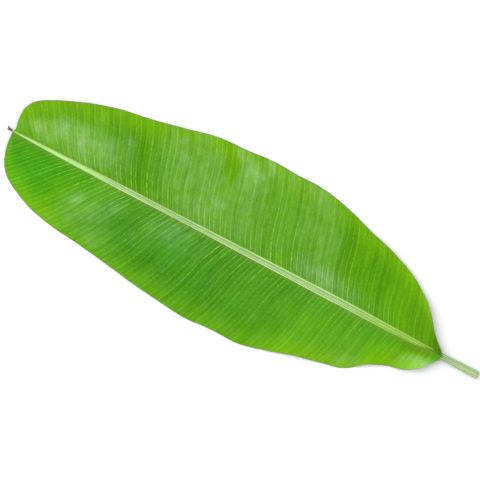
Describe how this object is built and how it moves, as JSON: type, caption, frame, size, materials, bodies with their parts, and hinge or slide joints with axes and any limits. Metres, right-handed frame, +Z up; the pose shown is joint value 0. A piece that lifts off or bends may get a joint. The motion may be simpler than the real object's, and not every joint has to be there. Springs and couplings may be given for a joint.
{
  "type": "banana leaf",
  "caption": "Long cut leaf with a blunt tip, pleated blade with lateral ribs, a channelled midrib with a rounded keel, and a short petiole; it lies with its upper side up.",
  "frame": {"origin": "on the flat underside of the midrib's keel, half way along the blade", "axes": "+X along the midrib from the leaf's tip to its petiole, +Y to the wider half of the blade, +Z up out of the leaf's upper side"},
  "size_m": [1.3338, 0.4525, 0.0362],
  "materials": {
    "leaf_green": "fresh waxy leaf, satin",
    "midrib_green": "smooth fresh stalk, satin",
    "dry_brown": "withered, matte"
  },
  "bodies": {
    "root": {"blade": "leaf_green", "midrib_and_petiole": "midrib_green", "dry_tip": "dry_brown"}
  },
  "joints": []
}
